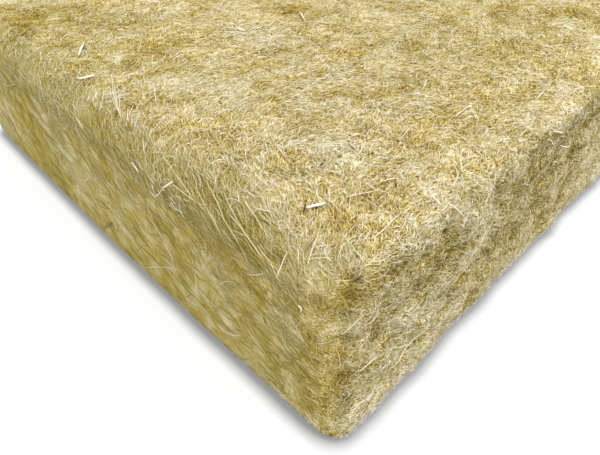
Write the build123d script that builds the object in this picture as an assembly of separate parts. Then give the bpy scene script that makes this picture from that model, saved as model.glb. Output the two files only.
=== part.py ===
from build123d import *
import os

# One batt of hemp fibre insulation, lying flat. All sizes are in millimetres.
# +X runs along the batt, +Y across it and +Z up, from the middle of its underside.

# Stock size of the batt, as it is sold for studs at 400 mm centres
LENGTH = 1200.0
WIDTH = 375.0
THICKNESS = 100.0

# The two ends are chopped across the web while rollers hold it down. They spring back bowed
# in plan, and the blade drags the upper face a little further along than the lower one.
END_BOW = 3.0
END_LEAN = 3.0

# The fibres round off along the faces and at the four upright corners.
FACE_EDGE_RADIUS = 8.0
CORNER_RADIUS = 16.0


def plan_outline():
    """The batt seen from above: two straight slit sides, two bowed ends and round corners."""
    lean_beside_edge = END_LEAN * (0.5 - FACE_EDGE_RADIUS / THICKNESS)
    half_length = LENGTH / 2 - lean_beside_edge
    half_width = WIDTH / 2
    corner_x = half_length - END_BOW
    with BuildSketch() as sketch:
        with BuildLine():
            Line((-corner_x, -half_width), (corner_x, -half_width))
            ThreePointArc((corner_x, -half_width), (half_length, 0), (corner_x, half_width))
            Line((corner_x, half_width), (-corner_x, half_width))
            ThreePointArc((-corner_x, half_width), (-half_length, 0), (-corner_x, -half_width))
        make_face()
        fillet(sketch.vertices(), CORNER_RADIUS)
    return sketch.sketch


def batt():
    """The fibre batt as one solid: its outline carried up along the lean, with its edges rounded off."""
    lean_path = Vector(-END_LEAN, 0, THICKNESS)
    foot = Pos(END_LEAN / 2, 0, 0) * plan_outline()
    body = extrude(foot, amount=lean_path.length, dir=lean_path.normalized())
    face_edges = body.faces().sort_by(Axis.Z)[-1].edges() + body.faces().sort_by(Axis.Z)[0].edges()
    return fillet(face_edges, FACE_EDGE_RADIUS)


os.makedirs("parts", exist_ok=True)
export_step(batt(), "parts/batt.step")
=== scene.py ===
import bpy
import numpy as np
from mathutils import Matrix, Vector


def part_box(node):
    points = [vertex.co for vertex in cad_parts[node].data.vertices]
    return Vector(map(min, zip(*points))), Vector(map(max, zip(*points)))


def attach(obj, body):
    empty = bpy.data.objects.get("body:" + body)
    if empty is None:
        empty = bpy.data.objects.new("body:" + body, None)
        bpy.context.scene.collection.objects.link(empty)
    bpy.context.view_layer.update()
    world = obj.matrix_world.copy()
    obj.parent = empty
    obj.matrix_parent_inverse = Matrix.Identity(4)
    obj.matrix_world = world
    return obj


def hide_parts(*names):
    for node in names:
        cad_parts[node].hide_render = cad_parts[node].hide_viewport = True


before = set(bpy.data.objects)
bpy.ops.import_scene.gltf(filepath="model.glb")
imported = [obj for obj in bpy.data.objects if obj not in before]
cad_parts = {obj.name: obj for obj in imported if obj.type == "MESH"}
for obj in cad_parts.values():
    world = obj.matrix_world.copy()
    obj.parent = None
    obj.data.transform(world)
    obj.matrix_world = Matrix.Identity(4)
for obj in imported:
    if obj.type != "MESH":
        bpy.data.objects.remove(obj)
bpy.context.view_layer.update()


# Camera. It is held close above the batt's near corner and looks down along the diagonal,
# so that the broad face, one chopped end and one slit side all show.
VIEW_WIDTH, VIEW_HEIGHT = 600, 455
FOCAL_PIXELS = 479.7
SENSOR_WIDTH = 36.0
CAMERA_AZIMUTH, CAMERA_ELEVATION, CAMERA_ROLL = np.radians((-46.51, 39.26, 2.446))
CAMERA_FROM_CORNER = (-0.0780, -0.0545, 0.1987)

batt_low, batt_high = (np.array(corner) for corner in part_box("batt"))
LENGTH, WIDTH, THICKNESS = batt_high - batt_low
camera_place = batt_low + CAMERA_FROM_CORNER
camera_back = np.array((
    np.sin(CAMERA_AZIMUTH) * np.cos(CAMERA_ELEVATION),
    -np.cos(CAMERA_AZIMUTH) * np.cos(CAMERA_ELEVATION),
    np.sin(CAMERA_ELEVATION),
))
level_right = np.cross(-camera_back, (0, 0, 1))
level_right /= np.linalg.norm(level_right)
level_up = np.cross(camera_back, level_right)
camera_right = np.cos(CAMERA_ROLL) * level_right + np.sin(CAMERA_ROLL) * level_up
camera_up = np.cos(CAMERA_ROLL) * level_up - np.sin(CAMERA_ROLL) * level_right

camera_data = bpy.data.cameras.new("camera")
camera_data.sensor_width = SENSOR_WIDTH
camera_data.lens = SENSOR_WIDTH * FOCAL_PIXELS / VIEW_WIDTH
camera_data.clip_start = 0.01
camera = bpy.data.objects.new("camera", camera_data)
turn = np.eye(4)
turn[:3, :3] = np.column_stack((camera_right, camera_up, camera_back))
turn[:3, 3] = camera_place
camera.matrix_world = Matrix(turn.tolist())
bpy.context.scene.collection.objects.link(camera)
bpy.context.scene.camera = camera
bpy.context.scene.view_settings.view_transform = "Standard"


# The web is the batt's body: carded hemp fibre laid in thin laps and bonded into one springy slab.
# It was chopped to length and slit to width, so its skin is lumpy and its edges are soft.
LEAN = 0.003
BOW = 0.003
BOW_REACH = 0.15
TOP_SIDE_RADIUS, TOP_END_RADIUS, BOTTOM_RADIUS = 0.007, 0.018, 0.004
TOP_CORNER_RADIUS, BOTTOM_CORNER_RADIUS = 0.022, 0.009
half_length = LENGTH / 2 - LEAN * (0.5 - TOP_END_RADIUS / THICKNESS)
half_width = WIDTH / 2
CREVICE_HALF_WIDTH = 0.0035
CREVICES = ((0.084, 0.0040), (0.064, 0.0022), (0.045, 0.0020), (0.026, 0.0035))
NOISE_CELLS = 64
END_SLOPE = np.radians(28)
LOWEST = 0.0003

# Hollows and, below 0, tufts: each by its pixel in the photograph, its radius and its depth.
POCKETS = (
    ((358, 281), 0.0024, 0.0022), ((351, 295), 0.0035, 0.0014), ((374, 284), 0.0045, 0.0006),
    ((398, 270), 0.0055, 0.0012), ((425, 256), 0.0055, 0.0014), ((447, 246), 0.004, 0.0022),
    ((457, 242), 0.004, 0.0022), ((444, 236), 0.003, 0.0018), ((475, 258), 0.0035, 0.0018),
    ((461, 259), 0.003, 0.0016), ((438, 280), 0.003, 0.0014), ((435, 252), 0.003, 0.0014),
    ((494, 203), 0.003, 0.002), ((485, 210), 0.003, 0.0018), ((488, 233), 0.003, 0.0012),
    ((503, 226), 0.003, 0.0012), ((514, 185), 0.004, 0.0024), ((525, 193), 0.003, 0.0016),
    ((537, 186), 0.004, 0.0018), ((531, 205), 0.004, 0.0018), ((551, 161), 0.004, 0.0024),
    ((530, 155), 0.003, 0.0014), ((548, 174), 0.003, 0.0014), ((564, 143), 0.006, 0.0022),
    ((588, 126), 0.006, 0.0026), ((572, 160), 0.005, 0.0012), ((365, 330), 0.0028, 0.0024),
    ((345, 314), 0.0025, 0.0012), ((410, 287), 0.003, 0.0008), ((392, 352), 0.0025, 0.0008),
    ((388, 310), 0.002, 0.0006), ((420, 294), 0.002, 0.0008), ((277, 260), 0.0025, 0.002),
    ((318, 301), 0.0022, 0.0018), ((308, 337), 0.003, 0.0018), ((241, 250), 0.0035, 0.001),
    ((214, 271), 0.0028, 0.001), ((130, 64), 0.003, 0.0012), ((288, 12), 0.006, 0.002),
    ((385, 95), 0.005, 0.0015), ((430, 203), 0.004, 0.0012), ((316, 156), 0.0025, 0.0014),
    ((299, 178), 0.003, 0.001), ((270, 165), 0.002, 0.001), ((472, 225), 0.016, -0.003),
    ((401, 318), 0.0035, -0.0015), ((378, 392), 0.005, 0.0012), ((455, 322), 0.008, -0.002),
    ((500, 275), 0.01, -0.0015), ((515, 250), 0.006, -0.0012),
)


def lumps(points, cell, seed):
    """Smooth noise from -1 to 1: random heights on a cubic lattice of that cell, joined by a quintic step."""
    heights = np.random.default_rng(seed).uniform(-1, 1, (NOISE_CELLS,) * 3)
    place = points / cell + 0.37 * seed
    low = np.floor(place).astype(int)
    step = place - low
    step = step ** 3 * (step * (step * 6 - 15) + 10)
    total = np.zeros(points.shape[:-1])
    for corner in np.ndindex(2, 2, 2):
        share = np.prod(np.where(np.array(corner) == 1, step, 1 - step), axis=-1)
        i, j, k = np.moveaxis((low + corner) % NOISE_CELLS, -1, 0)
        total += share * heights[i, j, k]
    return total


def ramp(value, start, end):
    """A smooth step: 0 before start, 1 past end, with a cubic in between."""
    share = np.clip((value - start) / (end - start), 0, 1)
    return share * share * (3 - 2 * share)


def skin(points):
    """The nearest points of the smooth square-cut skin and their normals.

    In plan a point is measured from a core that stands in from the sides by the corner radius.
    In section it is then measured from a core that stands in by the edge radius, and the skin
    lies one edge radius out from that second core. The upright corners open out with height,
    and the top edge is rounder over the chopped ends than along the slit sides.
    """
    height = points[..., 2:]
    opening = np.clip(height / THICKNESS, 0, 1)
    corner = BOTTOM_CORNER_RADIUS + (TOP_CORNER_RADIUS - BOTTOM_CORNER_RADIUS) * opening
    core_size = np.array((half_length, half_width)) - corner
    plan = points[..., :2]
    core = np.clip(plan, -core_size, core_size)
    out = plan - core
    distance = np.linalg.norm(out, axis=-1, keepdims=True)
    out = out / np.maximum(distance, 1e-9)
    top_radius = TOP_SIDE_RADIUS + (TOP_END_RADIUS - TOP_SIDE_RADIUS) * out[..., :1] ** 2
    radius = np.where(height > THICKNESS / 2, top_radius, BOTTOM_RADIUS)
    inner = np.minimum(distance, corner - radius)
    middle = np.clip(height, radius, THICKNESS - radius)
    away = np.concatenate((distance - inner, height - middle), axis=-1)
    away /= np.maximum(np.linalg.norm(away, axis=-1, keepdims=True), 1e-9)
    normal = np.concatenate((out * away[..., :1], away[..., 1:]), axis=-1)
    place = np.concatenate((core + out * inner, middle), axis=-1) + radius * normal
    return place, normal


def gaps(place, normal):
    """Where the fibre parts, 0 to 1: small flat hollows, many on the slit sides and fewer on the faces."""
    part = ramp(lumps(place * (0.5, 0.5, 1.0), 0.0032, 9), 0.15, 0.7)
    return part * (normal[..., 1] ** 2 + 0.3 * normal[..., 2] ** 2)


def loft(place, normal):
    """How far the felted skin stands off the smooth one: broad loft, tufts, laps and dents, by face.

    The laps on a slit side are ridges between crevices, each a narrow dip about its own height
    that wanders up and down and comes and goes along the batt.
    """
    on_side = normal[..., 1] ** 2
    on_end = normal[..., 0] ** 2
    on_top = np.maximum(normal[..., 2], 0) ** 2
    swell = 0.0014 * lumps(place, 0.09, 1) * (on_top + on_side + 0.6 * on_end)
    tufts = lumps(place, 0.017, 2) * (0.0012 * on_top + 0.0028 * on_side + 0.0006 * on_end)
    small = lumps(place, 0.0065, 3) * (0.0007 * on_top + 0.0014 * on_side + 0.0002 * on_end)
    wander = 0.006 * lumps(place, 0.06, 4) + 0.003 * lumps(place, 0.014, 5)
    laps = np.zeros_like(swell)
    for order, (height, depth) in enumerate(CREVICES):
        off = (place[..., 2] - height + wander) / CREVICE_HALF_WIDTH
        strength = 0.5 + 0.9 * lumps(place, 0.03, 6 + order)
        laps -= depth * on_side * np.exp(-off ** 2) * np.clip(strength, 0, 1.1)
    near_floor = 0.6 + 0.4 * ramp(place[..., 2], 0, 0.025)
    return (swell + tufts + small + laps) * near_floor - 0.0008 * gaps(place, normal)


def end_shift(x, y, z):
    """How far x moves back as the slab leans with height, and as its ends bow in away from mid width."""
    bowed = BOW * (y / half_width) ** 2 * ramp(np.abs(x), half_length - BOW_REACH, half_length)
    return LEAN * (z / THICKNESS - 0.5) + np.sign(x) * bowed


def settle(points):
    """Leans the slab, bows its ends, and holds it above the floor."""
    x, y, z = np.moveaxis(points, -1, 0)
    return np.stack((x - end_shift(x, y, z), y, np.maximum(z, LOWEST)), axis=-1)


def unsettle(points):
    """Undoes settle, to well under a tenth of a millimetre."""
    x, y, z = np.moveaxis(points, -1, 0)
    return np.stack((x + end_shift(x, y, z), y, z), axis=-1)


def seats_at(pixels, stand_off):
    """Where sight lines through pixels of the photograph meet the skin, as places on the smooth skin.

    Each line starts at the camera and is walked on, over and over, by its own gap to the skin.
    """
    x, y = np.moveaxis(np.asarray(pixels, float), -1, 0)
    right, down = (x - VIEW_WIDTH / 2)[..., None], (y - VIEW_HEIGHT / 2)[..., None]
    line = right * camera_right - down * camera_up - FOCAL_PIXELS * camera_back
    line /= np.linalg.norm(line, axis=-1, keepdims=True)
    reach = np.zeros_like(x)
    for _ in range(50):
        spot = unsettle(camera_place + reach[..., None] * line)
        place, normal = skin(spot)
        reach += 0.8 * (np.sum((spot - place) * normal, axis=-1) - stand_off(place, normal))
    return place


pocket_seats = seats_at([pixel for pixel, _, _ in POCKETS], loft)


def hollow(place):
    """How deep the pockets are at a place: bell-shaped hollows, or tufts where the depth is below 0."""
    total = np.zeros(place.shape[:-1])
    for seat, (_, radius, depth) in zip(pocket_seats, POCKETS):
        total += depth * np.exp(-np.sum((place - seat) ** 2, axis=-1) / radius ** 2)
    return total


def relief(place, normal):
    """How far the felted skin stands off the smooth one, with its pockets."""
    return loft(place, normal) - hollow(place)


def raised(points, lift=0.0):
    """Points brought to the real skin, lifted off it along its normal, and settled."""
    place, normal = skin(points)
    lift = np.broadcast_to(lift, place.shape[:-1])
    height = (relief(place, normal) + lift)[..., None]
    return settle(place + height * normal)


def graded(low, high, fine, coarse, reach):
    """Grid lines from low to high, spaced fine near both ends, then coarser over a reach from the low one."""
    steps = np.linspace(low, high, 2000)
    spacing = fine + (coarse - fine) * ramp(steps, low, low + reach)
    from_edge = np.minimum(steps - low, high - steps)
    spacing = np.minimum(spacing, 0.0028 + 0.25 * from_edge)
    count = np.concatenate(((0,), np.cumsum(np.diff(steps) / spacing[1:])))
    return np.interp(np.linspace(0, count[-1], int(np.ceil(count[-1])) + 1), count, steps)


def lattice_shell(xs, ys, zs):
    """The outer squares of a block lattice with those grid lines, as welded points and outward quads."""
    lines = (xs, ys, zs)
    points, quads, count = [], [], 0
    for axis in range(3):
        across, along = lines[(axis + 1) % 3], lines[(axis + 2) % 3]
        u, v = np.meshgrid(across, along, indexing="ij")
        index = np.arange(u.size).reshape(u.shape)
        cell = np.stack((index[:-1, :-1], index[1:, :-1], index[1:, 1:], index[:-1, 1:]), axis=-1)
        for end in (0, -1):
            side = np.empty(u.shape + (3,))
            side[..., axis] = lines[axis][end]
            side[..., (axis + 1) % 3] = u
            side[..., (axis + 2) % 3] = v
            points.append(side.reshape(-1, 3))
            quads.append((cell if end == -1 else cell[..., ::-1]).reshape(-1, 4) + count)
            count += u.size
    points, place = np.unique(np.round(np.concatenate(points), 7), axis=0, return_inverse=True)
    return points, place.reshape(-1)[np.concatenate(quads)]


def mesh_piece(name, points, faces, values):
    """A mesh object from points, a list of equal-sided face arrays, and one named value for each point."""
    sides = np.concatenate([np.full(len(group), group.shape[1]) for group in faces])
    corners = np.concatenate([group.reshape(-1) for group in faces])
    mesh = bpy.data.meshes.new(name)
    mesh.vertices.add(len(points))
    mesh.vertices.foreach_set("co", points.astype(np.float32).ravel())
    mesh.loops.add(len(corners))
    mesh.loops.foreach_set("vertex_index", corners.astype(np.int32))
    mesh.polygons.add(len(sides))
    mesh.polygons.foreach_set("loop_start", (np.cumsum(sides) - sides).astype(np.int32))
    mesh.polygons.foreach_set("loop_total", sides.astype(np.int32))
    mesh.polygons.foreach_set("use_smooth", np.ones(len(sides), bool))
    for key, value in values.items():
        layer = mesh.attributes.new(name=key, type="FLOAT", domain="POINT")
        layer.data.foreach_set("value", value.astype(np.float32).ravel())
    mesh.update(calc_edges=True)
    mesh.validate()
    piece = bpy.data.objects.new(name, mesh)
    bpy.context.scene.collection.objects.link(piece)
    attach(piece, "root")
    return piece


# Tinted spots, each by its pixel in the photograph: radius, how much paler, how much more golden.
# The dark golden spots at pixels (290, 12) and (385, 95) sit on a hole and a pocket and are painted shade.
SPOTS = (
    ((347, 240), 0.011, -0.2, 0.9), ((412, 228), 0.008, 1.2, 0.1), ((432, 216), 0.008, 0.9, 0.0),
    ((345, 300), 0.011, -0.3, 0.6), ((255, 258), 0.012, 0.0, 0.5), ((285, 225), 0.011, 1.0, 0.1),
    ((322, 262), 0.008, 0.9, 0.7), ((335, 148), 0.008, 0.7, -0.6), ((340, 262), 0.01, 0.1, 0.9),
    ((300, 285), 0.014, 0.0, 0.5), ((318, 168), 0.012, 1.0, 0.0), ((360, 165), 0.012, 0.6, 0.1),
    ((372, 195), 0.011, 0.7, 0.3), ((165, 195), 0.015, 0.0, 0.5), ((207, 225), 0.017, -0.2, 0.6),
    ((135, 75), 0.02, 0.7, -0.3), ((212, 108), 0.02, 0.8, -0.2), ((205, 38), 0.028, -0.6, -0.1),
    ((512, 105), 0.018, 0.8, -0.4), ((450, 90), 0.016, -0.6, 0.2), ((30, 42), 0.04, 0.4, -0.7),
    ((385, 385), 0.014, 0.7, -0.7), ((360, 410), 0.011, 0.4, -0.6), ((420, 350), 0.014, 0.3, -0.6),
    ((380, 350), 0.011, 0.2, -0.5), ((348, 291), 0.005, 0.2, 0.8), ((180, 255), 0.014, -0.6, 0.2),
    ((197, 285), 0.012, -0.6, 0.1), ((25, 115), 0.03, -0.7, 0.0), ((45, 140), 0.03, -0.5, -0.1),
    ((345, 228), 0.011, -0.6, 0.4), ((318, 240), 0.01, -0.2, 0.4), ((405, 197), 0.011, -0.8, 0.4),
    ((344, 256), 0.009, 0.1, 0.5), ((255, 225), 0.01, -0.5, 0.4), ((258, 375), 0.012, 0.6, -0.2),
    ((290, 405), 0.012, 0.4, -0.2), ((285, 165), 0.01, -0.5, 0.4), ((590, 180), 0.016, -0.4, -0.6),
    ((440, 217), 0.015, 0.6, 0.0), ((466, 203), 0.012, 0.5, -0.3), ((318, 45), 0.02, -0.6, 0.2),
    ((435, 108), 0.014, -0.6, 0.2), ((345, 75), 0.02, 0.6, 0.0), ((555, 105), 0.014, -0.5, 0.0),
    ((135, 228), 0.012, -0.6, 0.0), ((372, 374), 0.009, 0.8, 0.0), ((371, 402), 0.008, 0.5, 0.0),
    ((305, 235), 0.017, 0.9, 0.25), ((116, 98), 0.0045, 1.3, -0.9), ((75, 50), 0.03, 0.1, -0.3),
    ((35, 12), 0.04, -1.1, -0.1), ((130, 12), 0.04, -0.6, 0.0), ((190, 85), 0.022, 0.8, -0.3),
    ((480, 12), 0.035, -0.7, 0.1), ((540, 10), 0.035, -0.6, 0.0), ((590, 18), 0.03, -0.6, 0.1),
    ((390, 14), 0.025, 0.5, -0.4), ((310, 105), 0.012, 0.6, -0.2), ((250, 35), 0.016, 0.3, -0.3),
    ((290, 12), 0.012, -0.8, 0.5), ((385, 95), 0.012, -0.6, 0.3), ((265, 205), 0.014, 0.45, -0.1),
    ((215, 168), 0.012, -0.4, 0.1), ((190, 165), 0.011, -0.5, 0.2), ((228, 198), 0.009, -0.5, 0.2),
    ((252, 228), 0.008, -0.5, 0.2), ((160, 140), 0.012, -0.3, 0.1), ((240, 240), 0.017, -0.5, 0.2),
    ((180, 205), 0.017, -0.35, 0.2), ((210, 300), 0.018, 0.2, -0.4), ((60, 150), 0.03, 0.1, -0.5),
    ((262, 355), 0.015, 0.1, -0.3), ((320, 325), 0.008, 0.3, 0.0), ((314, 388), 0.011, -1.1, -0.1),
    ((367, 337), 0.004, 0.8, -0.4), ((352, 325), 0.0045, 0.8, -0.3), ((440, 300), 0.012, 0.4, -0.4),
    ((462, 213), 0.008, 0.5, 0.5), ((493, 184), 0.008, 0.5, 0.5), ((401, 318), 0.004, 0.9, -0.5),
    ((420, 262), 0.012, -0.4, -0.2), ((456, 250), 0.012, -0.4, -0.1), ((530, 180), 0.014, -0.4, 0.1),
    ((520, 215), 0.012, 0.5, 0.0), ((578, 136), 0.01, -0.5, 0.0), ((484, 240), 0.012, 0.3, -0.2),
    ((385, 305), 0.007, 0.6, -0.4), ((384, 328), 0.012, 0.7, -0.1), ((455, 265), 0.013, -0.6, 0.0),
    ((420, 345), 0.012, 0.3, -0.2), ((540, 215), 0.014, 0.2, -0.1), ((336, 345), 0.011, 0.7, 0.3),
    ((331, 375), 0.011, 0.0, 0.3), ((331, 412), 0.01, 0.0, 0.2), ((366, 378), 0.009, 0.8, -0.5),
    ((352, 405), 0.008, 0.6, -0.3), ((405, 345), 0.01, 0.5, -0.4),
)


def spotted(place, column):
    """The tint that the spots give at a place: each is full at its middle and fades as a bell curve."""
    total = np.zeros(place.shape[:-1])
    for seat, spot in zip(spot_seats, SPOTS):
        total += spot[column] * np.exp(-np.sum((place - seat) ** 2, axis=-1) / spot[1] ** 2)
    return total


spot_seats = seats_at([spot[0] for spot in SPOTS], relief)


def streaks(place, seed):
    """Noise for the chopped ends, from -1 to 1: stretched twofold the way that the blade pulled the fibre."""
    along = place[..., 1] * np.cos(END_SLOPE) + place[..., 2] * np.sin(END_SLOPE)
    across = place[..., 2] * np.cos(END_SLOPE) - place[..., 1] * np.sin(END_SLOPE)
    across = across + 0.004 * lumps(place, 0.03, seed + 5)
    return lumps(np.stack((along / 2, across, place[..., 0] / 2), axis=-1), 0.0045, seed)


# The blade combs a broad face this far in from its ends. A place is on a broad face where the
# upright part of its normal is past the limit, at 45 degrees.
COMBED_REACH = 0.06
FACE_LIMIT = 0.707


def combing(place):
    """How far the blade has combed the broad face at a place, from 0 inside the batt to 1 at its ends."""
    return ramp(np.abs(place[..., 0]) - half_length, -COMBED_REACH, -0.25 * COMBED_REACH)


def swirl(place):
    """The angle of the fibre's flow on a broad face from the batt's length, in swirls and small locks."""
    from_side = ramp(place[..., 1], -half_width + 0.14, -half_width + 0.28)
    from_end = ramp(half_length - np.abs(place[..., 0]), 0.08, 0.2)
    drift = 0.16 + 0.6 * from_side * (1 - from_end)
    return drift + 0.4 * lumps(place, 0.05, 21) + 0.7 * lumps(place, 0.014, 22)


def stroke_angle(place):
    """The angle of the web's strokes on each face: the flow, turned over the ends, or down the laps."""
    _, normal = skin(place)
    face_angle = swirl(place)
    face_angle = face_angle + (1.2 - face_angle) * combing(place)
    side_angle = 0.55 + 0.6 * lumps(place, 0.016, 25)
    return np.where(np.abs(normal[..., 2]) > FACE_LIMIT, face_angle, side_angle)


def near_edges(place, normal):
    """Two bands of the broad faces, each 0 to 1: one that nears a chopped end, one along a slit side."""
    on_face = np.abs(normal[..., 2])
    to_end = half_length - np.abs(place[..., 0])
    to_side = half_width - np.abs(place[..., 1])
    by_side = on_face * (1 - ramp(to_side, 0.010, 0.030)) * ramp(to_end, 0.005, 0.05)
    return on_face * (1 - ramp(to_end, 0.003, 0.022)), by_side


# Clouds of tone are drawn out along the batt, and a chopped end is duller in a rim above the floor.
ALONG = np.array((0.55, 1.0, 1.0))
RIM_HEIGHT = 0.045


def far_along(place):
    """How far along the batt's ends a place is from the slit side that the photograph shows, from 0 to 1."""
    return ramp(place[..., 1], -half_width + 0.08, -half_width + 0.25)


def gold_patches_and_shade(place):
    """How golden the fibre is at a place, 0 to 1: cloudy, greyer on the slit sides and ends, and more golden
    in gaps and pockets, as painted shade.
    """
    _, normal = skin(place)
    on_end = normal[..., 0] ** 2
    by_end, by_side = near_edges(place, normal)
    cloud = 0.35 * lumps(place, 0.03, 11) * (1 - 0.5 * on_end)
    cloud = cloud + 0.6 * lumps(place * ALONG, 0.009, 12) * (1 - on_end)
    cloud = cloud + (0.25 - 0.15 * far_along(place)) * streaks(place, 16) * on_end
    on_side = normal[..., 1] ** 2
    from_corner = ramp(place[..., 0], -half_length + 0.01, -half_length + 0.12)
    bias = 0.44 - (0.20 + 0.65 * from_corner) * on_side + 0.20 * by_end + 0.25 * by_side
    bias = bias - on_end * (0.12 + 0.40 * (1 - ramp(place[..., 2], 0.0, RIM_HEIGHT)))
    bias = bias + on_end * (0.30 * ramp(place[..., 2], 0.05, 0.09) - 0.10 * far_along(place))
    # Painted shade: the fibre is more golden in gaps and pockets.
    gap_shading = 0.35 * gaps(place, normal) + 130 * np.maximum(hollow(place), 0)
    return np.clip(bias + (0.95 - 0.25 * on_side) * cloud + gap_shading + spotted(place, 3), 0, 1)


def paleness_and_shade(place):
    """How much paler the fibre is drawn at a place, about -2 to 1: cloudy, with painted shade where the skin
    dips or parts and in pockets, and painted light on rises and tufts.
    """
    smooth, normal = skin(place)
    on_end = normal[..., 0] ** 2
    far = far_along(place)
    cloud = 0.5 * lumps(place * ALONG, 0.018, 13) + 0.8 * lumps(place * ALONG, 0.007, 14)
    cloud = 0.3 * lumps(place, 0.06, 15) + cloud * (1 - 0.7 * on_end)
    cloud = cloud + (0.6 - 0.4 * far) * streaks(place, 17) * on_end
    # Painted shade in the skin's dips and painted light on its rises; below, painted shade in gaps and pockets
    # and painted light on tufts.
    dip = np.clip(loft(smooth, normal) / (0.0035 - 0.0015 * normal[..., 2] ** 2), -1.0, 0.7)
    gap_shading = gaps(smooth, normal) * (1 - 0.5 * on_end * far) + np.clip(400 * hollow(smooth), -1.0, 1.3)
    by_end, by_side = near_edges(place, normal)
    rim = -0.5 * (1 + far) * on_end * (1 - ramp(place[..., 2], 0.0, RIM_HEIGHT))
    edges = by_side + 0.1 * by_end + 0.1 * normal[..., 1] ** 2 + rim
    return cloud + dip - gap_shading + spotted(place, 2) + edges


def crispness(place):
    """How much the web's strokes stand out, from 0 to 1.

    The chopped ends are matted smooth but for their edges, and so is the broad face beside them.
    """
    _, normal = skin(place)
    on_end, on_side, on_face = np.moveaxis(normal ** 2, -1, 0)
    matted = ramp(-np.abs(place[..., 0]), -half_length, -half_length + 0.15)
    matted = (1 - matted) * ramp(place[..., 1], -half_width + 0.08, -half_width + 0.22)
    raised_part = ramp(place[..., 2], 0.04, 0.09)
    by_corner = 1 - ramp(half_width - np.abs(place[..., 1]), 0.0, 0.07)
    smooth = on_end * (0.88 - 0.38 * raised_part) * (1 - 0.6 * by_corner)
    rough = 1 - smooth - 0.1 * on_side * (1 - raised_part)
    return np.maximum(rough - 0.4 * on_face * matted - 0.25 * on_end * far_along(place), 0)


near_corner = np.array((-half_length, -half_width, THICKNESS))
CROWD_REACH = 0.16
SPARSEST = 0.03


def crowding(place, reach=CROWD_REACH, floor=SPARSEST):
    """How densely fibres are laid at a place: 1 at the near corner, thinning with distance to a floor."""
    distance = np.linalg.norm(place - near_corner, axis=-1)
    return np.maximum(floor, 1 / (1 + (distance / reach) ** 2))


block_points, web_quads = lattice_shell(
    graded(-half_length, half_length, 0.0022, 0.011, 0.5),
    graded(-half_width, half_width, 0.0024, 0.0052, 0.4),
    graded(0, THICKNESS, 0.0025, 0.0025, 0.1),
)
web_points = raised(block_points)
# Painted shade: the bed is darker where fibres crowd over it, less so on the chopped ends, and the tone
# carries the painted shade and light of dips, gaps, pockets and tufts.
shaded_bed_amount = crowding(web_points) * (1 - 0.6 * skin(block_points)[1][:, 0] ** 2)
web = mesh_piece("batt_web", web_points, [web_quads], {
    "gold": gold_patches_and_shade(web_points), "tone": paleness_and_shade(web_points),
    "bed_shade": shaded_bed_amount, "crisp": crispness(web_points), "flow": stroke_angle(web_points),
})
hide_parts("batt")


def linear(red, green, blue):
    """A colour written as it shows on screen, from 0 to 255, in the shader's linear values."""
    shown = np.array((red, green, blue)) / 255
    light = np.where(shown <= 0.04045, shown / 12.92, ((shown + 0.055) / 1.055) ** 2.4)
    return (*light.tolist(), 1.0)


def straw_ramp(nodes, stops):
    """A colour ramp node through those (position, colour) stops."""
    ramp_node = nodes.new("ShaderNodeValToRGB")
    ends = ramp_node.color_ramp.elements
    for end, (position, colour) in zip(ends, (stops[0], stops[-1])):
        end.position, end.color = position, linear(*colour)
    for position, colour in stops[1:-1]:
        ends.new(position).color = linear(*colour)
    return ramp_node


def attribute_value(nodes, name):
    """The output of a node that reads one of the piece's own named values."""
    reader = nodes.new("ShaderNodeAttribute")
    reader.attribute_name = name
    return reader.outputs["Fac"]


def straw_colour(nodes, links, level, plain, golden):
    """The colour at a level, dark to pale: plain and golden ramps, blended by how golden the fibre is."""
    mix = nodes.new("ShaderNodeMix")
    mix.data_type = "RGBA"
    links.new(attribute_value(nodes, "gold"), mix.inputs["Factor"])
    for socket, stops in (("A", plain), ("B", golden)):
        tones = straw_ramp(nodes, stops)
        links.new(level, tones.inputs["Fac"])
        links.new(tones.outputs["Color"], mix.inputs[socket])
    return mix.outputs["Result"]


def matt_material(name, roughness, shine):
    """A new material of that roughness and shine, with its nodes, its links and its shader."""
    material = bpy.data.materials.new(name)
    material.use_nodes = True
    nodes, links = material.node_tree.nodes, material.node_tree.links
    shader = nodes["Principled BSDF"]
    shader.inputs["Roughness"].default_value = roughness
    shader.inputs["Specular IOR Level"].default_value = shine
    return material, nodes, links, shader


def arithmetic(nodes, links, operation, *values, kind="Math"):
    """The output of a maths node of that operation, whose inputs are other outputs or plain values."""
    node = nodes.new("ShaderNode" + kind)
    node.operation = operation
    for socket, value in zip(node.inputs, values):
        if isinstance(value, bpy.types.NodeSocket):
            links.new(value, socket)
        else:
            socket.default_value = value
    return node.outputs[0]


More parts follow.
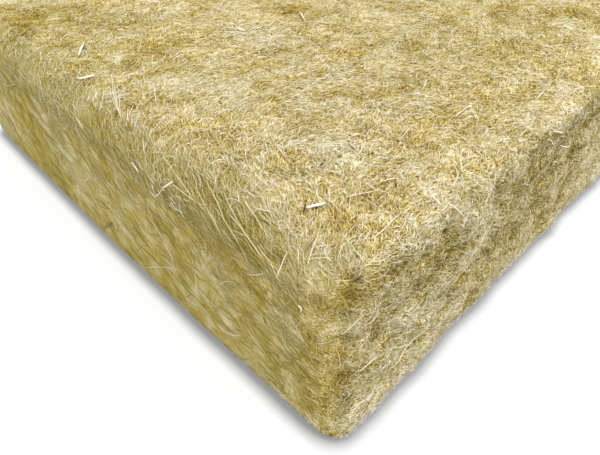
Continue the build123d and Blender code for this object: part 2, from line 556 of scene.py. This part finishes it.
def stroke_group():
    """Straw strokes as a node group: long thin Voronoi cells along a turned axis, each with its own tone.

    The place is turned and divided by the stroke's length and width, so that round cells there are
    long strokes on the batt. Mask is 1 on a stroke's middle line.
    """
    group = bpy.data.node_groups.new("straw_strokes", "ShaderNodeTree")
    for name, way, kind in (
        ("Place", "INPUT", "Vector"), ("Turn", "INPUT", "Vector"), ("Length", "INPUT", "Float"),
        ("Width", "INPUT", "Float"), ("Mask", "OUTPUT", "Float"), ("Tone", "OUTPUT", "Float"),
    ):
        group.interface.new_socket(name=name, in_out=way, socket_type="NodeSocket" + kind)
    nodes, links = group.nodes, group.links
    given, result = nodes.new("NodeGroupInput"), nodes.new("NodeGroupOutput")
    rotate = nodes.new("ShaderNodeVectorRotate")
    rotate.rotation_type = "EULER_XYZ"
    links.new(given.outputs["Place"], rotate.inputs["Vector"])
    links.new(given.outputs["Turn"], rotate.inputs["Rotation"])
    size = nodes.new("ShaderNodeCombineXYZ")
    for axis, source in (("X", "Length"), ("Y", "Width"), ("Z", "Width")):
        links.new(given.outputs[source], size.inputs[axis])
    scaled = arithmetic(nodes, links, "DIVIDE", rotate.outputs[0], size.outputs[0], kind="VectorMath")
    cells = nodes.new("ShaderNodeTexVoronoi")
    cells.inputs["Scale"].default_value = 1.0
    links.new(scaled, cells.inputs["Vector"])
    mask = nodes.new("ShaderNodeMapRange")
    mask.interpolation_type = "SMOOTHSTEP"
    mask.inputs["From Min"].default_value = 0.62
    mask.inputs["From Max"].default_value = 0.22
    links.new(cells.outputs["Distance"], mask.inputs["Value"])
    tone = nodes.new("ShaderNodeSeparateColor")
    links.new(cells.outputs["Color"], tone.inputs["Color"])
    links.new(mask.outputs["Result"], result.inputs["Mask"])
    links.new(tone.outputs["Red"], result.inputs["Tone"])
    return group


def face_place(nodes, links):
    """Object coordinates turned so that the first two lie in the face: a hard choice by the normal.

    On a slit side the second one runs downward, so that a turn towards it slopes as the laps there do.
    """
    coordinates = nodes.new("ShaderNodeTexCoord")
    place = nodes.new("ShaderNodeSeparateXYZ")
    links.new(coordinates.outputs["Object"], place.inputs["Vector"])
    size = arithmetic(nodes, links, "ABSOLUTE", coordinates.outputs["Normal"], kind="VectorMath")
    facing = nodes.new("ShaderNodeSeparateXYZ")
    links.new(size, facing.inputs["Vector"])
    turned = []
    for axes in ("XYZ", "XZY", "YZX"):
        joined = nodes.new("ShaderNodeCombineXYZ")
        for target, source in zip("XYZ", axes):
            links.new(place.outputs[source], joined.inputs[target])
        turned.append(joined.outputs["Vector"])
    turned[1] = arithmetic(nodes, links, "MULTIPLY", turned[1], (1.0, -1.0, 1.0), kind="VectorMath")
    upward = arithmetic(nodes, links, "GREATER_THAN", facing.outputs["Z"], FACE_LIMIT)
    sideways = arithmetic(nodes, links, "GREATER_THAN", facing.outputs["Y"], facing.outputs["X"])
    chosen = turned[2]
    for choice, option in ((sideways, turned[1]), (upward, turned[0])):
        mix = nodes.new("ShaderNodeMix")
        mix.data_type = "VECTOR"
        links.new(choice, mix.inputs["Factor"])
        links.new(chosen, mix.inputs[4])
        links.new(option, mix.inputs[5])
        chosen = mix.outputs[1]
    return chosen


# How far the slow noise bends the strokes, the step in radians between locks, and the bump's height.
STROKE_BEND = (0.0055, 0.0055, 0.0)
LOCK_STEP = 0.35
STROKE_HEIGHT = 0.0005

# Each size of pit, the dark pits of painted shade between the strokes: its length, its width, and the share of
# such cells that are left flat.
SHADE_PITS = ((0.0030, 0.0010, 0.65), (0.0075, 0.0022, 0.70))


def web_finish(name, layers, plain, golden):
    """Felted fibre: straw strokes in several directions laid over each other, in colour and in bump.

    The strokes follow the web's flow in small locks, each turned by a step of its angle. Each layer's
    strokes have their own tones and lie over the last layer's, which fades where the web is less
    crisp. The gaps between strokes are darker than their middles, and dark pits of two sizes lie
    between them: both are painted shade. A noise and the web's own tone make clouds of paler and
    darker fibre, and the tone also carries painted shade in dips, gaps and pockets and painted light
    on rises and tufts. Under the laid fibres the bed is darker, as painted shade.
    """
    material, nodes, links, shader = matt_material(name, 0.8, 0.15)
    place = face_place(nodes, links)
    bend, cloud = (nodes.new("ShaderNodeTexNoise") for _ in range(2))
    for noise, scale, detail in ((bend, 90.0, 1.0), (cloud, 110.0, 2.0)):
        noise.inputs["Scale"].default_value = scale
        noise.inputs["Detail"].default_value = detail
        links.new(place, noise.inputs["Vector"])
    wave = bend.outputs["Color"]
    bent = arithmetic(nodes, links, "MULTIPLY_ADD", wave, STROKE_BEND, place, kind="VectorMath")
    stepped = arithmetic(nodes, links, "SNAP", attribute_value(nodes, "flow"), LOCK_STEP)
    lock = nodes.new("ShaderNodeVectorRotate")
    lock.rotation_type = "Z_AXIS"
    lock.invert = True
    links.new(bent, lock.inputs["Vector"])
    links.new(stepped, lock.inputs["Angle"])
    strokes = stroke_group()

    def stroke_layer(turn, length, width):
        """The mask and the tone of a layer of strokes, turned by those degrees."""
        layer = nodes.new("ShaderNodeGroup")
        layer.node_tree = strokes
        layer.inputs["Turn"].default_value = (0.0, 0.0, np.radians(turn))
        layer.inputs["Length"].default_value = length
        layer.inputs["Width"].default_value = width
        links.new(lock.outputs["Vector"], layer.inputs["Place"])
        return layer.outputs["Mask"], layer.outputs["Tone"]

    height, tone = stroke_layer(*layers[0])
    for layer in layers[1:]:
        mask, own_tone = stroke_layer(*layer)
        over = nodes.new("ShaderNodeMix")
        links.new(mask, over.inputs["Factor"])
        links.new(tone, over.inputs["A"])
        links.new(own_tone, over.inputs["B"])
        height = arithmetic(nodes, links, "MAXIMUM", height, mask)
        tone = over.outputs["Result"]
    pit_shades = []
    for length, width, bare_share in SHADE_PITS:
        mask, own_tone = stroke_layer(0, length, width)
        some = nodes.new("ShaderNodeMapRange")
        some.inputs["From Min"].default_value = bare_share
        links.new(own_tone, some.inputs["Value"])
        pit_shades.append(arithmetic(nodes, links, "MULTIPLY", mask, some.outputs["Result"]))
    crisp = attribute_value(nodes, "crisp")

    def summed(start, parts):
        """The output of nodes that add up the parts, each a (source, share), onto a start value."""
        total = start
        for source, share in parts:
            total = arithmetic(nodes, links, "MULTIPLY_ADD", source, share, total)
        return total

    # Painted shade: the gaps between strokes and the pits are darker, and so is the bed under crowded fibres.
    grain_and_gap_shade = summed(-0.59, ((tone, 0.74), (height, 0.36), (pit_shades[0], -0.51), (pit_shades[1], -0.20)))
    level = summed(0.18, (
        (grain_and_gap_shade, crisp), (cloud.outputs["Fac"], 0.55),
        (attribute_value(nodes, "tone"), 0.16), (attribute_value(nodes, "bed_shade"), -0.30),
    ))
    links.new(straw_colour(nodes, links, level, plain, golden), shader.inputs["Base Color"])
    bump = nodes.new("ShaderNodeBump")
    links.new(crisp, bump.inputs["Strength"])
    bump.inputs["Distance"].default_value = STROKE_HEIGHT
    links.new(height, bump.inputs["Height"])
    links.new(bump.outputs["Normal"], shader.inputs["Normal"])
    return material


# Each layer of strokes: its turn in degrees, and its strokes' length and width.
STROKE_LAYERS = (
    (-52, 0.006, 0.0007), (26, 0.007, 0.0007), (-27, 0.006, 0.0006),
    (13, 0.007, 0.0006), (-13, 0.006, 0.0006), (0, 0.005, 0.0006),
)
web.data.materials.append(web_finish(
    "web_fibre", STROKE_LAYERS,
    plain=((0.0, (106, 82, 0)), (0.3, (168, 151, 74)), (0.6, (207, 197, 166)), (1.0, (244, 239, 224))),
    golden=((0.0, (108, 79, 0)), (0.3, (170, 146, 46)), (0.6, (212, 195, 144)), (1.0, (247, 238, 212))),
))


# The face fibres lie on the broad faces: long pale bast fibres, curled and crossed, mostly along
# the web. Near a chopped end they were combed across it and hang over the edge.
END_HEADING = np.array((0.26, np.cos(END_SLOPE), np.sin(END_SLOPE)))


def scatter(rng, count, low, high, reach=None, floor=SPARSEST):
    """Seats spread over a flat box, as crowded as fibres are on the web, or evenly where no reach is given."""
    low, high = np.array(low), np.array(high)
    kept = np.empty((0, 3))
    while len(kept) < count:
        tries = low + rng.random((count, 3)) * (high - low)
        share = crowding(tries, reach, floor) if reach else 1.0
        kept = np.concatenate((kept, tries[rng.random(count) < share]))
    return kept[:count]


def headings(rng, place, normal, spread):
    """Directions along the skin: along the batt with slow swirls, combed over the end near it, then strayed.

    The combing fades towards the upright corners. Most fibres stray from the flow by a normal angle
    of that spread, and the rest lie anyhow.
    """
    turned = swirl(place)
    flow = np.stack((np.cos(turned), np.sin(turned), np.zeros(len(place))), axis=-1)
    side_swirl = -0.5 + 0.6 * lumps(place, 0.02, 23)
    side_flow = np.stack((np.cos(side_swirl), np.zeros(len(place)), np.sin(side_swirl)), axis=-1)
    on_side = ramp(np.abs(normal[:, 1:2]), 0.5, 0.9)
    flow = flow * (1 - on_side) + side_flow * on_side
    combed = combing(place)[:, None] * (1 - on_side)
    combed = combed * (0.3 + 0.7 * ramp(half_width - np.abs(place[:, 1:2]), 0.005, 0.045))
    end_flow = END_HEADING * np.concatenate((-np.sign(place[:, :1]), np.ones((len(place), 2))), axis=1)
    flow = flow * (1 - combed) + end_flow * combed
    across = np.cross(normal, flow)
    stray = rng.normal(0, 1, (len(place), 1)) * spread * (1 - 0.5 * combed)
    stray = stray + 0.5 * combed * lumps(place, 0.03, 24)[:, None]
    anyhow = rng.uniform(-0.5, 0.5, (len(place), 1)) * np.pi
    angle = np.where(rng.random((len(place), 1)) < 0.15 * (1 - 0.8 * combed), anyhow, stray)
    return flow * np.cos(angle) + across * np.sin(angle)


def comb(rng, seats, length, spread, turn, steps):
    """Fibre paths: each starts at a seat and steps along the skin, turning a little more with each step."""
    place, normal = skin(seats)
    heading = headings(rng, place, normal, spread)
    bend = rng.normal(0, 1, (len(seats), 1)) * turn / (steps - 1)
    wave = rng.normal(0, 1, (len(seats), 1)) * turn / (steps - 1)
    path = [place]
    for step in range(steps - 1):
        heading -= np.sum(heading * normal, axis=1, keepdims=True) * normal
        heading /= np.linalg.norm(heading, axis=1, keepdims=True)
        angle = bend + wave * (2 * step / max(steps - 2, 1) - 1)
        heading = heading * np.cos(angle) + np.cross(normal, heading) * np.sin(angle)
        place, normal = skin(place + heading * length[:, None] / (steps - 1))
        path.append(place)
    return np.stack(path, axis=1)


def spindles(path, half_thick, flat=0.7):
    """Closed fibres: three-cornered rings round each inner path point, drawn to a point at both ends."""
    along = np.gradient(path, axis=1)
    along /= np.linalg.norm(along, axis=-1, keepdims=True)
    _, normal = skin(path)
    across = np.cross(along, normal)
    across /= np.linalg.norm(across, axis=-1, keepdims=True)
    upward = np.cross(across, along)
    count, steps = path.shape[:2]
    taper = np.sin(np.pi * np.linspace(0.1, 0.9, steps)) ** 0.5
    taper = taper[None, :, None] * half_thick[:, None, None]
    rings = []
    for corner in range(3):
        angle = np.pi / 2 + corner * 2 * np.pi / 3
        rings.append(path + taper * (np.cos(angle) * across + flat * np.sin(angle) * upward))
    rings = np.stack(rings, axis=2)[:, 1:-1]
    points = np.concatenate((path[:, :1], rings.reshape(count, -1, 3), path[:, -1:]), axis=1)
    size = points.shape[1]
    corner = np.arange(3)
    after = np.roll(corner, -1)
    first, last = 1, size - 4
    caps = np.concatenate((
        np.stack((np.full(3, 0), first + corner, first + after), axis=-1),
        np.stack((np.full(3, size - 1), last + after, last + corner), axis=-1),
    ))
    ring = 1 + 3 * np.arange(steps - 3)[:, None]
    walls = np.stack((ring + corner, ring + 3 + corner, ring + 3 + after, ring + after), axis=-1)
    walls = walls.reshape(-1, 4)
    shift = (np.arange(count) * size)[:, None, None]
    faces = [(caps + shift).reshape(-1, 3), (walls + shift).reshape(-1, 4)]
    return points.reshape(-1, 3), faces, size


# No fibre stands further off the skin than this.
HIGHEST_LIFT = 0.009


def lay_fibres(
    name, seed, seats, length, half_thick, spread, turn, rise, stand, tone, steps, finish, vary=0.2
):
    """A mat of fibres on the skin, at heights from the skin to the rise, each with its own shade.

    A fibre arches over its middle by half the rise, the lower it lies the darker it is drawn, as
    painted shade in the mat, and stand is how steeply fibres go out of the mat. Its shade also takes
    the painted shade and light of the dips, gaps, pockets and tufts where it lies. Away from the near
    corner they are laid thicker, as bundles.
    """
    rng = np.random.default_rng(seed)
    count = len(seats)
    away = np.clip(np.linalg.norm(seats - near_corner, axis=1) - 0.05, 0, 0.5)
    length = length * (1 + 0.5 * away) * np.exp(rng.normal(0, 0.35, count))
    half_thick = half_thick * (1 + 2.0 * away) * np.exp(rng.normal(0, 0.35, count))
    path = comb(rng, seats, length, spread, turn, steps)
    arch = np.sin(np.pi * np.linspace(0, 1, steps))[None, :]
    level = rng.random((count, 1)) ** 1.5
    tilt = rng.normal(0, stand, (count, 1)) * np.linspace(-0.5, 0.5, steps)
    lift = rise * (level + 0.5 * (arch - 0.5)) + length[:, None] * tilt
    points, faces, size = spindles(raised(path, np.minimum(lift, HIGHEST_LIFT)), half_thick)
    points[:, 2] = np.maximum(points[:, 2], 0.5 * LOWEST)
    middle = path[:, steps // 2]
    # Painted shade: lower fibres are darker, and the tone of the place carries the painted shade and light of
    # dips, gaps, pockets and tufts.
    shade = tone + vary * rng.normal(0, 1, count) + 0.35 * (level[:, 0] - 0.4) + 0.16 * paleness_and_shade(middle)
    golden = gold_patches_and_shade(middle) + rng.normal(0, 0.2, count)
    values = {"shade": shade, "gold": golden}
    values = {key: np.repeat(np.clip(value, 0, 1), size) for key, value in values.items()}
    piece = mesh_piece(name, points, faces, values)
    piece.data.materials.append(finish)
    return piece


def fibre_finish(name, plain, golden):
    """Bast fibre: two ramps of straw colours over each fibre's own shade, blended by how golden it is."""
    material, nodes, links, shader = matt_material(name, 0.6, 0.25)
    colour = straw_colour(nodes, links, attribute_value(nodes, "shade"), plain, golden)
    links.new(colour, shader.inputs["Base Color"])
    return material


face_finish = fibre_finish(
    "face_fibre",
    plain=((0.0, (104, 78, 0)), (0.3, (184, 163, 76)), (0.7, (227, 215, 178)), (1.0, (252, 248, 232))),
    golden=((0.0, (100, 68, 0)), (0.3, (186, 156, 48)), (0.7, (228, 209, 152)), (1.0, (252, 245, 218))),
)
top_low = (-half_length, -half_width, THICKNESS)
top_high = (half_length, half_width, THICKNESS)
rng = np.random.default_rng(100)
lay_fibres(
    "face_fibres_short", 201, scatter(rng, 32000, top_low, top_high, CROWD_REACH), length=0.0048, vary=0.25,
    half_thick=0.00010, spread=0.38, turn=0.4, rise=0.0008, stand=0.45, tone=0.50, steps=3, finish=face_finish,
)
lay_fibres(
    "face_fibres_curled", 202, scatter(rng, 16000, top_low, top_high, CROWD_REACH), length=0.0070, vary=0.25,
    half_thick=0.00009, spread=0.4, turn=0.9, rise=0.0010, stand=0.3, tone=0.60, steps=4, finish=face_finish,
)
lay_fibres(
    "face_fibres_long", 203, scatter(rng, 4800, top_low, top_high, 0.17, 0.02), length=0.011,
    half_thick=0.00008, spread=0.5, turn=1.0, rise=0.0013, stand=0.08, tone=0.72, steps=5, finish=face_finish,
)


# The end fibres were pulled over the chopped end by the blade: long, straight and matted flat, and
# crowded where they come over its top edge.
end_low = (-half_length, -half_width, 0)
end_high = (-half_length, half_width, THICKNESS)
end_finish = fibre_finish(
    "end_fibre",
    plain=((0.0, (130, 112, 0)), (0.3, (172, 156, 68)), (0.7, (203, 191, 144)), (1.0, (238, 231, 208))),
    golden=((0.0, (126, 106, 0)), (0.3, (170, 152, 54)), (0.7, (202, 187, 128)), (1.0, (236, 227, 194))),
)
end_seats = scatter(rng, 3600, end_low, end_high, CROWD_REACH)
end_seats[:, 2] = THICKNESS * (end_seats[:, 2] / THICKNESS) ** 0.55
lay_fibres(
    "end_bundles", 204, end_seats[:1200], length=0.013, vary=0.05, half_thick=0.00020, spread=1.10,
    turn=0.6, rise=0.0003, stand=0.01, tone=0.40, steps=4, finish=end_finish,
)
lay_fibres(
    "end_strands", 205, end_seats[1200:], length=0.012, vary=0.10, half_thick=0.00008, spread=1.40,
    turn=0.8, rise=0.0006, stand=0.03, tone=0.55, steps=4, finish=end_finish,
)
edge_seats = np.concatenate((
    scatter(rng, 4200, (-half_length, -half_width, 0.74 * THICKNESS), end_high, 0.2),
    scatter(rng, 2200, top_low, (-half_length + 0.010, half_width, THICKNESS), 0.2),
))
from_corner = ramp(edge_seats[:, 1] + half_width, 0.0, 0.05)
edge_seats = edge_seats[rng.random(len(edge_seats)) < 0.15 + 0.85 * from_corner]
lay_fibres(
    "edge_fibres", 209, edge_seats, length=0.0085, half_thick=0.00008, spread=0.80,
    turn=0.4, rise=0.0008, stand=0.04, tone=0.52, steps=4, finish=end_finish,
)


# The side fibres are the same bast fibre: the cut ends and curls of the laps that the slitting saw
# opened, short and tufted.
side_low = (-half_length, -half_width, 0)
side_high = (half_length, -half_width, THICKNESS)
side_finish = fibre_finish(
    "side_fibre",
    plain=((0.0, (104, 80, 0)), (0.3, (172, 156, 86)), (0.6, (210, 200, 166)), (1.0, (238, 231, 212))),
    golden=((0.0, (104, 74, 0)), (0.3, (172, 150, 54)), (0.6, (210, 193, 138)), (1.0, (238, 227, 194))),
)
lay_fibres(
    "side_fibres_short", 206, scatter(rng, 22000, side_low, side_high, 0.2), length=0.0038,
    half_thick=0.00010, spread=0.55, turn=0.6, rise=0.0010, stand=0.35, tone=0.46, steps=3, finish=side_finish,
)
lay_fibres(
    "side_fibres_curled", 207, scatter(rng, 5500, side_low, side_high, 0.2), length=0.0052,
    half_thick=0.00008, spread=0.6, turn=1.1, rise=0.0013, stand=0.2, tone=0.54, steps=4, finish=side_finish,
)


# Strands: single long bast fibres that lie loose on the faces, pale or browned, here and there.
# Each goes through three pixels of the photograph; then its width, and its shade from brown to white.
STRANDS = (
    ((370, 239), (384, 229), (400, 213), 0.00034, 0.92), ((380, 182), (390, 179), (399, 178), 0.00035, 1.0),
    ((344, 198), (364, 193), (384, 189), 0.00035, 0.9), ((307, 267), (312, 250), (320, 231), 0.00036, 0.92),
    ((320, 231), (321, 226), (330, 215), 0.0003, 0.6), ((180, 84), (230, 60), (280, 41), 0.0004, 0.75),
    ((399, 141), (406, 132), (415, 123), 0.00045, 0.9), ((455, 117), (462, 111), (468, 106), 0.0005, 0.95),
    ((423, 89), (425, 84), (427, 79), 0.0005, 1.0), ((410, 94), (415, 94), (420, 92), 0.0005, 0.95),
    ((357, 155), (361, 150), (362, 143), 0.00045, 0.9), ((314, 81), (324, 78), (331, 72), 0.0006, 0.8),
    ((319, 89), (316, 88), (312, 88), 0.0006, 0.15), ((536, 99), (540, 95), (544, 91), 0.0006, 1.0),
    ((482, 17), (485, 23), (487, 29), 0.0006, 0.95), ((460, 154), (461, 164), (464, 173), 0.0005, 0.95),
    ((451, 163), (458, 175), (448, 189), 0.00045, 0.85), ((430, 194), (436, 199), (441, 206), 0.00045, 1.0),
    ((448, 202), (456, 208), (466, 217), 0.00045, 0.9), ((553, 131), (559, 132), (565, 134), 0.0005, 0.95),
    ((549, 139), (552, 141), (553, 145), 0.00045, 0.95), ((561, 145), (566, 147), (570, 145), 0.0005, 0.95),
    ((341, 335), (353, 325), (365, 314), 0.0005, 0.75), ((146, 215), (163, 239), (176, 269), 0.00055, 0.75),
    ((144, 268), (160, 267), (176, 269), 0.00035, 0.85), ((217, 288), (224, 282), (235, 283), 0.0004, 0.8),
    ((217, 323), (228, 333), (242, 335), 0.00045, 0.85), ((246, 274), (255, 275), (264, 273), 0.00035, 0.85),
    ((277, 277), (281, 266), (287, 252), 0.00045, 0.95), ((194, 272), (196, 282), (196, 291), 0.0004, 0.8),
    ((297, 305), (301, 308), (300, 312), 0.00045, 1.0), ((151, 191), (156, 196), (163, 187), 0.00045, 0.9),
    ((171, 183), (185, 194), (198, 204), 0.0003, 0.8), ((162, 188), (167, 185), (173, 181), 0.0008, 1.0),
    ((160, 152), (178, 178), (197, 205), 0.00032, 0.72), ((131, 162), (135, 167), (138, 172), 0.0005, 0.9),
    ((83, 182), (87, 179), (90, 177), 0.0005, 0.8), ((75, 117), (79, 122), (83, 128), 0.0005, 0.8),
    ((112, 75), (113, 90), (118, 106), 0.00045, 0.8), ((113, 79), (116, 96), (120, 116), 0.00045, 0.84),
    ((110, 83), (112, 98), (119, 112), 0.0004, 0.8), ((117, 82), (119, 98), (121, 118), 0.0004, 0.8),
    ((112, 89), (115, 101), (122, 121), 0.0004, 0.84), ((162, 26), (163, 30), (163, 34), 0.0005, 0.9),
    ((154, 86), (155, 95), (156, 103), 0.00045, 0.9), ((4, 83), (9, 86), (16, 83), 0.00045, 0.8),
    ((382, 380), (404, 350), (430, 326), 0.0004, 0.8), ((345, 418), (362, 402), (378, 384), 0.0004, 0.8),
    ((354, 376), (366, 366), (378, 356), 0.0004, 0.85), ((392, 340), (406, 333), (418, 330), 0.00035, 0.85),
    ((305, 253), (311, 243), (318, 235), 0.00035, 0.18), ((340, 294), (345, 302), (349, 311), 0.00055, 0.42),
    ((363, 415), (369, 403), (376, 390), 0.00055, 0.14), ((539, 8), (549, 11), (558, 18), 0.0007, 0.15),
    ((298, 350), (308, 359), (318, 370), 0.0005, 0.12), ((213, 290), (222, 300), (234, 318), 0.00035, 0.7),
    ((256, 243), (270, 262), (282, 285), 0.00028, 0.75), ((228, 213), (244, 232), (262, 258), 0.0003, 0.8),
    ((212, 205), (232, 233), (250, 268), 0.00028, 0.72), ((204, 178), (216, 200), (226, 225), 0.00028, 0.78),
    ((240, 192), (256, 218), (270, 240), 0.00028, 0.78), ((222, 188), (232, 210), (244, 232), 0.00028, 0.72),
    ((196, 188), (210, 214), (222, 236), 0.00028, 0.7),
)

# Shives: slivers of the hemp stem's woody core that carding left in, each given as a strand is.
# The pale ones are bare wood, and the brown ones are weathered, but for two dark slivers that are painted
# shade:
# the wide one at pixel (283, 13) lies in a hole, and the near-black one at pixel (356, 280) in a pocket.
SHIVES = (
    ((304, 208), (315, 205), (327, 202), 0.0017, 1.0), ((304, 212), (305, 207), (305, 202), 0.0007, 0.02),
    ((347, 143), (352, 147), (356, 151), 0.0008, 0.0), ((363, 189), (366, 194), (370, 200), 0.0005, 0.1),
    ((372, 200), (381, 195), (391, 190), 0.00045, 0.12), ((368, 204), (372, 206), (376, 207), 0.0004, 0.05),
    ((173, 225), (179, 227), (185, 230), 0.0005, 0.22), ((197, 236), (200, 239), (204, 241), 0.0005, 0.25),
    ((186, 297), (188, 296), (191, 295), 0.0006, 0.22), ((74, 78), (86, 77), (97, 74), 0.0021, 0.9),
    ((78, 57), (81, 48), (85, 40), 0.0018, 0.9), ((235, 27), (240, 29), (245, 31), 0.0016, 1.0),
    ((298, 10), (302, 15), (306, 21), 0.0012, 0.95), ((561, 23), (568, 27), (576, 31), 0.0011, 0.95),
    ((328, 358), (328, 364), (328, 371), 0.0005, 0.25), ((196, 254), (198, 260), (202, 266), 0.0006, 0.28),
    ((211, 264), (213, 272), (217, 279), 0.0008, 0.3), ((276, 351), (278, 356), (282, 361), 0.00055, 0.28),
    ((467, 107), (470, 106), (472, 105), 0.0014, 1.0), ((273, 55), (279, 50), (284, 45), 0.0007, 0.2),
    # The first sliver below is painted shade, laid in a hole.
    ((283, 13), (287, 11), (292, 9), 0.005, 0.27), ((68, 52), (72, 46), (76, 41), 0.0007, 0.24),
    ((105, 128), (111, 136), (117, 144), 0.0006, 0.27), ((127, 120), (129, 125), (131, 131), 0.0013, 0.29),
    # The first sliver below is painted shade, laid in a pocket.
    ((351, 283), (356, 280), (361, 278), 0.0008, 0.04), ((113, 162), (118, 168), (122, 173), 0.0005, 0.27),
    ((125, 180), (132, 189), (138, 197), 0.0006, 0.27), ((103, 229), (107, 226), (112, 224), 0.002, 0.27),
    ((170, 206), (174, 211), (178, 215), 0.0007, 0.3), ((236, 240), (241, 247), (245, 253), 0.0007, 0.27),
    ((178, 164), (182, 171), (185, 177), 0.0006, 0.27), ((262, 318), (264, 319), (266, 321), 0.0007, 0.3),
)
STRAND_LIFT = 0.0017
LOOSE_GOLD = 0.3


def through(rows, lift, steps):
    """Paths on the lifted skin through three pixels each, as parabolas by the Lagrange formula.

    Half the width and the shade of each come with them.
    """
    knots = seats_at([row[:3] for row in rows], lambda place, normal: relief(place, normal) + lift)
    share = np.linspace(0, 1, steps)[:, None]
    weights = ((2 * share - 1) * (share - 1), 4 * share * (1 - share), share * (2 * share - 1))
    path = sum(weight * knots[:, None, order] for order, weight in enumerate(weights))
    return raised(path, lift), np.array([row[3] / 2 for row in rows]), np.array([row[4] for row in rows])


def lay_named(name, rows, steps, flat, finish):
    """A piece made of the fibres or slivers that the rows name, each of one shade along its length."""
    path, half_thick, shade = through(rows, STRAND_LIFT, steps)
    points, faces, size = spindles(path, half_thick, flat)
    values = {"shade": np.repeat(shade, size), "gold": np.full(len(points), LOOSE_GOLD)}
    piece = mesh_piece(name, points, faces, values)
    piece.data.materials.append(finish)
    return piece


loose_finish = fibre_finish(
    "loose_fibre",
    plain=(
        (0.0, (58, 34, 26)), (0.12, (134, 100, 26)), (0.3, (146, 124, 52)),
        (0.7, (214, 203, 158)), (1.0, (255, 253, 244)),
    ),
    golden=(
        (0.0, (62, 34, 18)), (0.12, (140, 102, 16)), (0.3, (150, 122, 40)),
        (0.7, (214, 198, 140)), (1.0, (255, 251, 236)),
    ),
)
lay_named("loose_strands", STRANDS, 12, 0.8, loose_finish)
lay_named("shives", SHIVES, 5, 0.35, loose_finish)


# The fluff is combed-out fibre, nearly white, that sits on the faces in small clouds.
# Each cloud: its pixel in the photograph, its radius and how many fibres it has.
FLUFF = (
    ((117, 102), 0.002, 24), ((335, 146), 0.006, 70), ((160, 189), 0.004, 40), ((250, 36), 0.01, 80),
    ((181, 203), 0.004, 40), ((400, 113), 0.006, 30), ((573, 96), 0.008, 70),
)
tufts = seats_at([pixel for pixel, _, _ in FLUFF], relief)
fluff_seats = np.concatenate([
    seat + rng.normal(0, radius, (count, 3)) for seat, (_, radius, count) in zip(tufts, FLUFF)
])
lay_fibres(
    "fluff", 208, fluff_seats, length=0.006, half_thick=0.00009, spread=1.0, turn=1.5, rise=0.0014, stand=0.1,
    tone=0.85, steps=5, finish=face_finish,
)


# The far fibres are the same bast fibre on the faces turned away: the far side, the far end and
# the underside, and on the far half of the top face, longer and in bundles there.
FAR_FACES = (
    (3600, (-half_length, half_width, 0), (half_length, half_width, THICKNESS), side_finish),
    (1200, (half_length, -half_width, 0), (half_length, half_width, THICKNESS), end_finish),
    (3600, (-half_length, -half_width, 0), (half_length, half_width, 0), face_finish),
    (2400, (0, -half_width, THICKNESS), (half_length, half_width, THICKNESS), face_finish),
)
for order, (count, low, high, finish) in enumerate(FAR_FACES):
    lay_fibres(
        f"far_fibres_{order}", 220 + order, scatter(rng, count, low, high), length=0.009,
        half_thick=0.00018, spread=0.7, turn=1.2, rise=0.0012, stand=0.15, tone=0.55, steps=3, finish=finish,
    )


# Floor and light. A white floor that shows white, with the batt's contact shadow, under an even sky
# and one broad softbox that stands above it.
CONTACT_REACH = 0.0085
CONTACT_START, CONTACT_END = 0.55, 0.97
DARKEST_CONTACT = 0.30
REAL_SHADE = 0.1
FLOOR_SIZE, FLOOR_COLOUR = 6, (0.85, 0.85, 0.85, 1)
SKY_COLOUR, SKY_STRENGTH = (1, 1, 1, 1), 0.88
SOFTBOX_SIZE, SOFTBOX_POWER, SOFTBOX_PLACE = 1.0, 56, (-0.35, -0.9, 2.2)
bpy.ops.mesh.primitive_plane_add(size=FLOOR_SIZE)
floor = bpy.context.object
floor.name = "floor"
floor_finish, nodes, links, lit = matt_material("floor", 1.0, 0.0)
lit.inputs["Base Color"].default_value = FLOOR_COLOUR
contact = nodes.new("ShaderNodeAmbientOcclusion")
contact.inputs["Distance"].default_value = CONTACT_REACH
deepened = nodes.new("ShaderNodeMapRange")
for socket, value in (("From Min", CONTACT_START), ("From Max", CONTACT_END), ("To Min", DARKEST_CONTACT)):
    deepened.inputs[socket].default_value = value
links.new(contact.outputs["AO"], deepened.inputs["Value"])
shown = nodes.new("ShaderNodeEmission")
links.new(deepened.outputs["Result"], shown.inputs["Strength"])
ray = nodes.new("ShaderNodeLightPath")
seen = ray.outputs["Is Camera Ray"]
for kind in ("Is Glossy Ray", "Is Transmission Ray"):
    seen = arithmetic(nodes, links, "MAXIMUM", seen, ray.outputs[kind])
mixed = nodes.new("ShaderNodeMixShader")
links.new(arithmetic(nodes, links, "MULTIPLY", seen, 1 - REAL_SHADE), mixed.inputs["Fac"])
links.new(lit.outputs["BSDF"], mixed.inputs[1])
links.new(shown.outputs["Emission"], mixed.inputs[2])
links.new(mixed.outputs["Shader"], nodes["Material Output"].inputs["Surface"])
floor.data.materials.append(floor_finish)

world = bpy.data.worlds.new("sky")
bpy.context.scene.world = world
world.use_nodes = True
sky = world.node_tree.nodes["Background"]
sky.inputs["Color"].default_value = SKY_COLOUR
sky.inputs["Strength"].default_value = SKY_STRENGTH

lamp_data = bpy.data.lights.new("softbox", "AREA")
lamp_data.shape = "DISK"
lamp_data.size = SOFTBOX_SIZE
lamp_data.energy = SOFTBOX_POWER
lamp = bpy.data.objects.new("softbox", lamp_data)
lamp.matrix_world = Matrix.Translation(SOFTBOX_PLACE)
bpy.context.scene.collection.objects.link(lamp)
